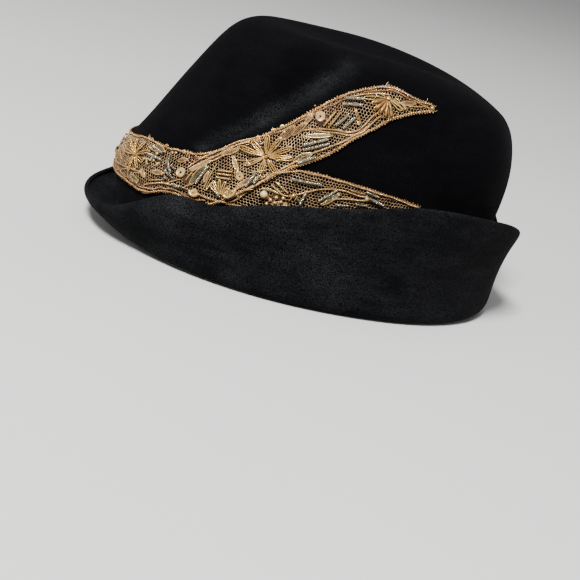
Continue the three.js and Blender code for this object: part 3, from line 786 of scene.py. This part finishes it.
def punch_sequin(name, radius):
    """One dished sequin with its hole, lying at the origin."""
    bpy.ops.object.select_all(action="DESELECT")
    bpy.ops.mesh.primitive_circle_add(vertices=24, radius=radius * MM)
    sequin = bpy.context.object
    sequin.name = name
    bpy.ops.object.mode_set(mode="EDIT")
    bpy.ops.mesh.select_all(action="SELECT")
    for (wide, high), (next_wide, next_high) in zip(SEQUIN_RINGS, SEQUIN_RINGS[1:]):
        bpy.ops.mesh.extrude_edges_move(TRANSFORM_OT_translate={
            "value": (0, 0, (next_high - high) * radius / 2 * MM),
        })
        bpy.ops.transform.resize(value=(next_wide / wide, next_wide / wide, 1))
    bpy.ops.mesh.select_all(action="SELECT")
    bpy.ops.mesh.normals_make_consistent(inside=False)
    bpy.ops.object.mode_set(mode="OBJECT")
    thick = sequin.modifiers.new("foil", "SOLIDIFY")
    thick.thickness = FOIL_THICK * MM
    thick.offset = 0
    bpy.ops.object.modifier_apply(modifier="foil")
    bpy.ops.object.shade_smooth_by_angle(angle=radians(50))
    return sequin


for number, seat in enumerate(SEQUINS, 1):
    sequin = punch_sequin(f"dished_sequin_{number:02}", seat["radius"])
    sequin.data.transform(standing(seat["round"], seat["high"], 0.45, radians(seat["lean"])))
    settle_piece(sequin, foil, "gilt_sequin", f"sequin_{number:02}")

# Foil crescents. Two strips of the same foil, rolled to small tubes. They are bent round the lower sides of
# two sequins and stitched down at both ends.
CRESCENTS = [
    [(59.6, 43.2), (60.6, 42.6), (61.8, 43.6), (62.3, 45.4), (62.1, 47.2)],
    [(49.2, 39.8), (49.7, 38.4), (50.8, 37.7), (51.9, 38.3), (52.3, 39.7)],
]
lines = []
for points in CRESCENTS:
    lines.append([place for place, _ in line_on_net(points, 0.8, 0.4, 0.3)])
settle_piece(strands("foil_crescents", lines, 1.6, 8), foil, "gilt_sequin")

# Flowers. Gilt cord looped out from a knotted centre and back for each petal, over coiled silk padding. The
# flower at the tail's tip is a fan of fat bullion rolls with a cord round each. All are sewn to the net.
PETAL_STEPS = 24


def knot_line(stand, wide, turns=2.6):
    """A knot: a thread wound round and drawn in to its middle, which rises a little with each turn."""
    steps_round = 12
    count = round(turns * steps_round)
    line = []
    for k in range(count + 1):
        angle = 2 * pi * k / steps_round
        reach = wide * (1 - 0.75 * k / count)
        rise = 0.35 * k / steps_round
        line.append(stand @ Vector((cos(angle) * reach * MM, sin(angle) * reach * MM, rise * MM)))
    return line


def petal(hub, tip, wide, above, full=1.0, near=0.0):
    """One loop of cord from near the hub out to the tip and back, laid on the net."""
    start, _ = on_net(*hub, above)
    end, _ = on_net(*tip, above)
    out = standing(*hub, above).to_3x3() @ Vector((0, 0, 1))
    start = start + (end - start).normalized() * near * MM
    along = (end - start) * full
    across = out.cross(along).normalized()
    loop = []
    # The loop is narrow by the hub and full towards the tip, and stands up most in its middle.
    for k in range(PETAL_STEPS + 1):
        angle = 2 * pi * k / PETAL_STEPS
        gone = (1 - cos(angle)) / 2
        place = start + along * gone + across * wide * MM * sin(angle) * (0.35 + 0.65 * gone)
        close, way_out, _, _ = felt_surface.find_nearest(place)
        rise = (place - close).dot(way_out)
        rest = (NET_TOP + overlap_lift(*hub) + above) * MM
        loop.append((close + way_out * max(rise, rest + 0.35 * MM * sin(pi * gone)), way_out))
    return loop


def bare_line(path, step):
    """The points of a path at even steps, without the way out at each."""
    return [place for place, _ in even_steps(path, step)]


FRONT_HUB = (20, 43.1)
FRONT_TIPS = [
    (17.7, 36.6), (11, 41.6), (12, 46.2), (14.4, 49.8), (20.7, 50.6), (26.4, 48.4), (26.3, 42.4),
    (25.4, 38.6), (21, 34.6),
]
MIDDLE_HUB = (66.2, 66.6)
MIDDLE_TIPS = [
    (56.6, 67.2), (59.8, 71.6), (63.8, 76.6), (68.2, 77), (72.6, 74.2), (74.2, 69.4), (71, 60.6),
    (66.6, 58.6), (61.2, 60),
]
MIDDLE_KNOTS = [MIDDLE_HUB, (66.9, 67.5), (65.6, 65.7)]
TIP_HUB = (98.5, 106.2)
TIP_FAN = [(94, 102.8), (94.9, 100.4), (96.3, 98.8), (98, 98), (99.9, 98.3)]
TIP_LEAVES = [(102.8, 102.3), (104.2, 103.4), (91.2, 104.3), (94.6, 107)]
HALF_HUB = (58.8, 42.2)
HALF_TIPS = [(54.8, 45.4), (54.7, 48), (56.2, 49.6), (58.2, 49.4), (60.2, 48.2)]

# Padding of brown silk cord, coiled flat under each flower and where sequins and leaves crowd together.
PADDING_PITCH = 0.62
PADDING_CORD = 0.5
PADDING_STEPS = 20
FLOWER_GROUNDS = [
    {"round": 18.8, "high": 42.8, "radius": 4.6}, {"round": 66.4, "high": 67.2, "radius": 5.4},
    {"round": 97.4, "high": 102.8, "radius": 3.4}, {"round": 57.6, "high": 46.4, "radius": 3.2},
    {"round": 78.6, "high": 90.4, "radius": 3.3}, {"round": 50.6, "high": 59, "radius": 2.4},
    {"round": 46.2, "high": 44, "radius": 2.4}, {"round": 69.4, "high": 79.6, "radius": 2.4},
    {"round": 37.8, "high": 45.4, "radius": 2.8}, {"round": 73.8, "high": 48.4, "radius": 3.0},
]
lines = []
for ground in FLOWER_GROUNDS:
    stand = standing(ground["round"], ground["high"], 0)
    lift = NET_TOP + overlap_lift(ground["round"], ground["high"]) + 0.1
    steps = ground["radius"] / PADDING_PITCH * PADDING_STEPS
    line = []
    for k in range(round(steps) + 1):
        angle = 2 * pi * k / PADDING_STEPS
        reach = ground["radius"] * (1 - k / steps)
        place = stand @ Vector((cos(angle) * reach * MM, sin(angle) * reach * MM, 0))
        near, way_out, _, _ = felt_surface.find_nearest(place)
        line.append(near + way_out * lift * MM)
    lines.append(line)
# Silk with no metal on it: dark brown, with the soft gloss of loosely twisted floss.
brown_silk = metal_thread("brown silk padding", "#140B05", "#64422A", 0.6, metal=0.0)
settle_piece(strands("flower_grounds", lines, PADDING_CORD, 4), brown_silk, "gilt_cord")

# Finer and yellower gilding than on the edge cords.
flower_gilt = metal_thread("yellow gilt flower thread", "#502806", "#FFCC78", 0.2, metal=0.6)

lines = []
for tip in FRONT_TIPS:
    path = even_steps(petal(FRONT_HUB, tip, 0.95, 0.6, near=1.2), 0.25)
    lines += wind(path, 0.17, 1.2, 2)
lines.append(knot_line(standing(*FRONT_HUB, 0.7), 0.9))
settle_piece(strands("front_cord_flower", lines, 0.4), flower_gilt, "gilt_cord", "flower_front")

lines = []
for tip in MIDDLE_TIPS:
    lines.append(bare_line(petal(MIDDLE_HUB, tip, 1.45, 0.6, near=1.3), 0.5))
    vein = petal(MIDDLE_HUB, tip, 0.12, 0.7, full=0.86, near=1.6)
    lines.append(bare_line(vein[:PETAL_STEPS // 2 + 1], 0.5))
for turned, high in MIDDLE_KNOTS:
    lines.append(knot_line(standing(turned, high, 0.6), 0.75))
settle_piece(strands("middle_cord_flower", lines, 0.62), flower_gilt, "gilt_cord", "flower_middle")

lines = []
for tip in HALF_TIPS:
    lines.append(bare_line(petal(HALF_HUB, tip, 0.75, 0.5, near=0.8), 0.4))
settle_piece(strands("half_cord_flower", lines, 0.5), bright_gilt, "gilt_cord")


def fat_roll(gone):
    """The thickness along a roll of bullion: thin at the hub, full near the tip, and round at its end."""
    return (0.4 + 0.6 * min(1, gone / 0.7)) * sqrt(max(0.02, 1 - max(0, (gone - 0.8) / 0.2) ** 2))


ROLL_WIDE = 2.1
rolls = []
lines = []
for tip in TIP_LEAVES:
    lines.append(bare_line(petal(TIP_HUB, tip, 1.1, 0.4, near=0.8), 0.4))
for tip in TIP_FAN:
    core = petal(TIP_HUB, tip, 0.05, 1.0, near=1.4)
    rolls.append(bare_line(core[:PETAL_STEPS // 2 + 1], 0.35))
    lines.append(bare_line(petal(TIP_HUB, tip, 1.3, 0.35, full=1.06, near=1.8), 0.4))
lines.append(knot_line(standing(*TIP_HUB, 1.0), 1.0))
# Bullion is wire coiled close over a soft core: bronze on the crest of each roll as painted light, and dark
# down its sides as painted shade.
bullion = metal_thread("bronze gilt bullion", "#1A0E05", "#B4844E", 0.3, metal=0.5, patch=400.0)
fan = strands("tip_bullion_flower", rolls, ROLL_WIDE, 10, fat_roll)
settle_piece(fan, bullion, "gilt_cord", "flower_tip")
settle_piece(strands("tip_flower_outlines", lines, 0.5), bright_gilt, "gilt_cord")

# Satin leaves. Long stitches of flat metal thread lie side by side, grey silver or coppery tan, and are
# stitched down inside a gilt outline. Single gilt stitches and short purls fill in between the leaves.
LEAF_THREAD = 0.46
BLADE_STEPS = 8
LEAVES = [
    {"base": (48.1, 41.2), "tip": (49.6, 54.2), "wide": 1.6, "core": "silver"},
    {"base": (74.4, 80.6), "tip": (84, 84.6), "wide": 0.7, "core": "silver"},
    {"base": (74.4, 68.4), "tip": (79.4, 74.4), "wide": 1.3, "core": "silver"},
    {"base": (86, 51.2), "tip": (90.4, 59.2), "wide": 0.9, "core": "silver"},
    {"base": (26.4, 52.6), "tip": (33.2, 51.4), "wide": 0.7, "core": "silver"},
    {"base": (68.1, 75.8), "tip": (70.7, 84.8), "wide": 1.7, "core": "copper"},
    {"base": (56, 62.4), "tip": (60, 55.8), "wide": 0.8, "core": "copper"},
    {"base": (72.4, 46), "tip": (77.6, 47.6), "wide": 0.9, "core": "copper"},
    {"base": (52, 45.4), "tip": (51.4, 51.6), "wide": 0.7, "core": "copper"},
    {"base": (45.8, 48.4), "tip": (50.4, 56.8), "wide": 0.7, "core": "copper"},
    {"base": (52, 60.4), "tip": (57.2, 66.6), "wide": 0.9, "core": "copper"},
    {"base": (61.8, 49), "tip": (66.2, 56.4), "wide": 0.8, "core": "copper"},
    {"base": (62.8, 70), "tip": (60.4, 75.2), "wide": 0.8, "core": "silver"},
    {"base": (71, 79.4), "tip": (74.4, 88), "wide": 1.1, "core": "copper"},
    {"base": (73.6, 86.2), "tip": (75.2, 92.4), "wide": 0.8, "core": "copper"},
    {"base": (32.4, 40.4), "tip": (37.6, 42.2), "wide": 0.9, "core": "copper"},
    {"base": (27.2, 39.2), "tip": (31, 36.2), "wide": 0.9, "core": "copper"},
    {"base": (39.4, 50.2), "tip": (42.8, 53), "wide": 0.8, "core": "copper"},
    {"base": (22.2, 33.4), "tip": (28.4, 32.8), "wide": 0.9, "core": "silver"},
    {"base": (102, 105.2), "tip": (107.6, 106.6), "wide": 0.9, "core": "copper"},
    {"base": (-36, 40), "tip": (-30, 43), "wide": 1.4, "core": "silver"},
    {"base": (-20, 36), "tip": (-13, 38), "wide": 1.4, "core": "silver"},
    {"base": (-8, 41), "tip": (-2, 44), "wide": 1.4, "core": "copper"},
]
GILT_STITCHES = [
    [(52.9, 41.8), (52.6, 56)], [(53.6, 43.2), (53.4, 49)], [(46.2, 43), (46.8, 48)],
    [(55.5, 62.2), (60.2, 55.8)], [(55.9, 62.4), (60.6, 56)], [(88.8, 99), (90.8, 93.6)],
    [(89.3, 99), (91.3, 93.6)], [(93, 61.4), (97.4, 61)], [(57, 60.5), (61.4, 62.4)],
    [(77.8, 52.4), (77.2, 49)], [(79, 53), (78.6, 49.4)], [(100.1, 106.8), (103.5, 102.3)],
    [(100.8, 107.4), (104.2, 103)], [(33, 36), (39, 39.6)], [(31.4, 41.8), (34, 46)],
    [(40.6, 38.8), (44.4, 43)], [(46.4, 39.4), (48.8, 43)], [(62.8, 46.6), (67, 50.6)],
    [(63.4, 57), (68, 60.8)], [(21, 36.2), (15.4, 33)], [(12, 37), (7.4, 40)], [(7.6, 44.4), (13, 47.8)],
    [(24, 35.4), (30.6, 38.4)], [(55.2, 67.2), (51.4, 62.8)], [(105, 104.6), (110.4, 106)],
]
SHORT_PURLS = [
    [(59, 41.6), (55, 45)], [(58.2, 41.9), (55.4, 47.2)], [(42.5, 39.2), (44.8, 39.6)],
    [(45.2, 39.8), (47.6, 39.6)], [(37.6, 43.8), (39.6, 42.8)], [(38.6, 40.4), (40.4, 41)],
    [(62.6, 71.2), (64.2, 73.6)], [(90, 52.9), (93.1, 54)], [(95.4, 55.2), (98.7, 55.8)],
    [(36.1, 51), (36.3, 49.6)], [(38.7, 47), (41.2, 46.2)], [(37.4, 45.2), (38.6, 42.6)],
    [(39.4, 43), (42, 42)], [(28.6, 44.6), (30.6, 46.8)], [(43.5, 38.4), (45.6, 39)],
    [(79.3, 51.4), (80.3, 50.4)], [(97.6, 62), (101, 61)], [(-26, 34), (-22, 38)], [(-6, 34), (-2, 38)],
    [(0, 45), (5, 45.6)],
]


def blade(base, tip, wide, above, side):
    """One stitch of a leaf: it bows out to a side and up off the net between the leaf's two ends."""
    start, _ = on_net(*base, above)
    end, _ = on_net(*tip, above)
    _, out = on_net((base[0] + tip[0]) / 2, (base[1] + tip[1]) / 2, above)
    along = end - start
    across = out.cross(along).normalized()
    line = []
    # The stitches in the middle of a leaf stand up most, because it is padded there.
    for k in range(BLADE_STEPS + 1):
        gone = k / BLADE_STEPS
        place = start + along * gone + across * wide * side * MM * sin(pi * gone) ** 0.8
        near, way_out, _, _ = felt_surface.find_nearest(place)
        rise = max((place - near).dot(way_out), (NET_TOP + overlap_lift(*base) + above) * MM)
        line.append(near + way_out * (rise + 0.5 * (1 - 0.6 * side * side) * MM * sin(pi * gone)))
    return line


# Flat silvered thread gone a warm grey, and copper gilt thread dulled to tan: both smooth, with a soft gloss.
old_silver = metal_thread("old silver satin thread", "#2A2419", "#948868", 0.3, metal=0.6, patch=300.0)
tan_copper = metal_thread("tan satin thread", "#33200F", "#C89E74", 0.34, metal=0.5)
for core, thread, slot in (("silver", old_silver, "silver_purl"), ("copper", tan_copper, "gilt_cord")):
    lines = []
    for leaf in LEAVES:
        if leaf["core"] == core:
            count = max(3, round(leaf["wide"] * 2.4))
            for k in range(count):
                side = -0.72 + 1.44 * k / (count - 1)
                lines.append(blade(leaf["base"], leaf["tip"], leaf["wide"], 0.25, side))
    settle_piece(strands(f"{core}_satin_leaves", lines, LEAF_THREAD), thread, slot)
lines = []
for leaf in LEAVES:
    for side in (-1, 1):
        lines.append(blade(leaf["base"], leaf["tip"], leaf["wide"] + 0.25, 0.3, side))
for points in GILT_STITCHES:
    lines.append([place for place, _ in line_on_net(points, 0.25, 0.8, 0.4)])
settle_piece(strands("gilt_outline_stitches", lines, 0.5), bright_gilt, "gilt_cord")
lines = []
for points in SHORT_PURLS:
    lines += wind(line_on_net(points, 0.75, PURL_PITCH / 12, 0.1), 0.55, PURL_PITCH, 2)
settle_piece(strands("short_silver_purls", lines, 0.42, 4), grey_silver, "silver_purl")

# Knots and beads. Round knots of gilt thread close up single ends. Small copper coated glass beads lie in
# sprays, gilt ones singly, and a group of larger gilt ones by the pearl, all sewn on through their holes.
KNOTS = [
    (26.2, 43.9), (30.2, 49), (33.4, 45), (31.6, 54.2), (39.7, 55.4), (60.4, 55.3), (91.1, 92.6),
    (66.9, 82.2), (64.6, 79.4), (98.1, 58.8), (78, 52.4), (113, 106), (71.2, 48.2), (60.1, 44.4),
    (50, 38.9),
]
COPPER_BEADS = [
    (41.6, 55.2), (43.2, 52.4), (45.6, 55.6), (61.2, 72.6), (62.1, 74.1), (75.3, 94), (80.5, 90.5),
    (74.4, 89.5), (72.5, 47.6), (74, 46.4), (38.6, 41.2),
]
lines = []
for turned, high in KNOTS:
    lines.append(knot_line(standing(turned, high, 0.5), 1.0))
settle_piece(strands("gilt_knots", lines, 0.5), bright_gilt, "gilt_cord")

GILT_BEADS = [
    (28.3, 43.6), (29.1, 42.8), (27.6, 44.6), (46.4, 55.2), (47.6, 57), (62.2, 61), (63.6, 44.6),
    (31, 45.6), (29.6, 45), (82.4, 84.6), (100.4, 60.9), (68.4, 80.2), (69.6, 82.6), (58.9, 70.6),
    (60.3, 72.2), (36, 52.8), (37.2, 53.4), (-42, 40), (-10, 43), (12, 47),
]
LARGE_BEADS = [(72.4, 47.6), (73.9, 46.9), (75.3, 48), (73.7, 49.5), (75.6, 50.1), (71.8, 45.4)]
BEADS_IN_SPRAY = 6
# Each spray is a small spiral of beads that lie close together.
COPPER_SPRAYS = [
    (place[0] + cos(2.4 * k + i) * 0.57 * sqrt(k), place[1] + sin(2.4 * k + i) * 0.85 * sqrt(k))
    for i, place in enumerate(COPPER_BEADS) for k in range(BEADS_IN_SPRAY)
]


def bored_bead(name, radius, segments, rings):
    """One bead at the origin, with its hole along X and a little shorter that way."""
    bpy.ops.object.select_all(action="DESELECT")
    bpy.ops.mesh.primitive_uv_sphere_add(segments=segments, ring_count=rings, radius=radius * MM)
    bead = bpy.context.object
    bead.name = name
    bpy.ops.object.mode_set(mode="EDIT")
    bpy.ops.mesh.select_mode(type="VERT")
    bpy.ops.mesh.select_all(action="DESELECT")
    bpy.ops.object.mode_set(mode="OBJECT")
    # Only the vertex at each pole lies this near the full radius. Their edges then bound the hole.
    for vertex in bead.data.vertices:
        vertex.select = abs(vertex.co.z) > 0.999 * radius * MM
    bpy.ops.object.mode_set(mode="EDIT")
    bpy.ops.mesh.delete(type="VERT")
    bpy.ops.mesh.select_non_manifold()
    bpy.ops.mesh.bridge_edge_loops()
    bpy.ops.mesh.select_all(action="SELECT")
    bpy.ops.mesh.normals_make_consistent(inside=False)
    bpy.ops.object.mode_set(mode="OBJECT")
    bead.data.transform(Matrix.Rotation(radians(90), 4, "Y") @ Matrix.Diagonal((1, 1, 0.88, 1)))
    return bead


# A thin copper coat on glass: glossy, pinkish, a little clouded.
copper_bead = metal_thread("copper bead lustre", "#5E3420", "#E2A67C", 0.2, metal=0.7)
for name, places, radius, finish in (
    ("copper_beads", COPPER_SPRAYS, 0.55, copper_bead), ("gilt_beads", GILT_BEADS, 0.8, bright_gilt),
    ("large_gilt_beads", LARGE_BEADS, 1.15, bright_gilt),
):
    first = bored_bead(name, radius, 8, 8)
    shape = first.data.copy()
    first.data.transform(standing(*places[0], radius * 0.8))
    beads = [first]
    for i, place in enumerate(places[1:], 1):
        bead = bpy.data.objects.new(name, shape.copy())
        bpy.context.collection.objects.link(bead)
        bead.data.transform(standing(*place, radius * 0.8) @ Matrix.Rotation(1.1 * i, 4, "Z"))
        beads.append(bead)
    take(first)
    for bead in beads:
        bead.select_set(True)
    bpy.ops.object.join()
    bpy.ops.object.shade_smooth_by_angle(angle=radians(60))
    settle_piece(first, finish, "gilt_cord")

# Frayed ends. The net was cut with scissors and not hemmed, so a few of its threads stand out at the tip of
# each tail and at the top of the front.
FRAY_STEPS = 6
FRAYS = [(112.6, 106.4), (112.8, 105.2), (110.5, 108), (113.6, 58.6), (20, 52.6), (21.5, 52.8), (98, 111)]
lines = []
# The threads point to the rear on the tails, and up at the front.
for i, (turned, high) in enumerate(FRAYS):
    for k in range(3):
        stand = standing(turned, high, 0.1)
        swing = radians(-50 + 45 * k + 13 * i) if turned > 60 else radians(50 + 30 * k)
        line = []
        for step in range(FRAY_STEPS + 1):
            far = step / FRAY_STEPS * (1.4 + 0.6 * ((k + i) % 3))
            bend = swing + 0.5 * sin(2 * far + i)
            line.append(stand @ (Vector((cos(bend) * far, sin(bend) * far, 0.12 * far * (k + 1))) * MM))
        lines.append(line)
settle_piece(strands("frayed_net_ends", lines, 0.2, 4), net_thread, "gilt_net")

# Pearl bead. One round glass bead with a pearly coat, bored through, and sewn on by a gilt thread that goes
# through its hole and down into the net on both sides.
PEARL_RADIUS = 2.0
# The thread's way in mm, along the hole and up from the bead's middle.
SEWING_WAY = [(-2.6, -1.6), (-2.3, -0.5), (-1.9, 0), (1.9, 0), (2.3, -0.5), (2.6, -1.6)]
seat = standing(70.2, 49.3, 1.9)
pearl = bored_bead("glass_pearl", PEARL_RADIUS, 32, 20)
pearl.data.transform(seat)
bpy.ops.object.shade_smooth_by_angle(angle=radians(50))
# Pearl essence over glass: cream with faint clouds a millimetre or two across, under a clear glossy coat.
pearl_coat, tree, output = new_material("pearl coated glass")
where = add(tree, "ShaderNodeTexCoord")
cloud = add(tree, "ShaderNodeTexNoise", {"Vector": where.outputs["Object"], "Scale": 700.0, "Detail": 2.0})
tones = add(tree, "ShaderNodeMix", {
    "Factor": cloud.outputs["Fac"], "A": colour("#9A7848"), "B": colour("#F2D29E"),
}, data_type="RGBA")
surface = add(tree, "ShaderNodeBsdfPrincipled", {
    "Base Color": tones.outputs[2], "Roughness": 0.22, "Coat Weight": 0.6, "Coat Roughness": 0.08,
})
tree.links.new(surface.outputs[0], output.inputs[0])
settle_piece(pearl, pearl_coat, "pearl_coat", "pearl_bead")
line = []
for along, high in SEWING_WAY:
    line.append(seat @ (Vector((along, 0, high)) * MM))
settle_piece(strands("pearl_sewing_thread", [line], 0.35), flower_gilt, "gilt_cord")

low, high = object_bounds()
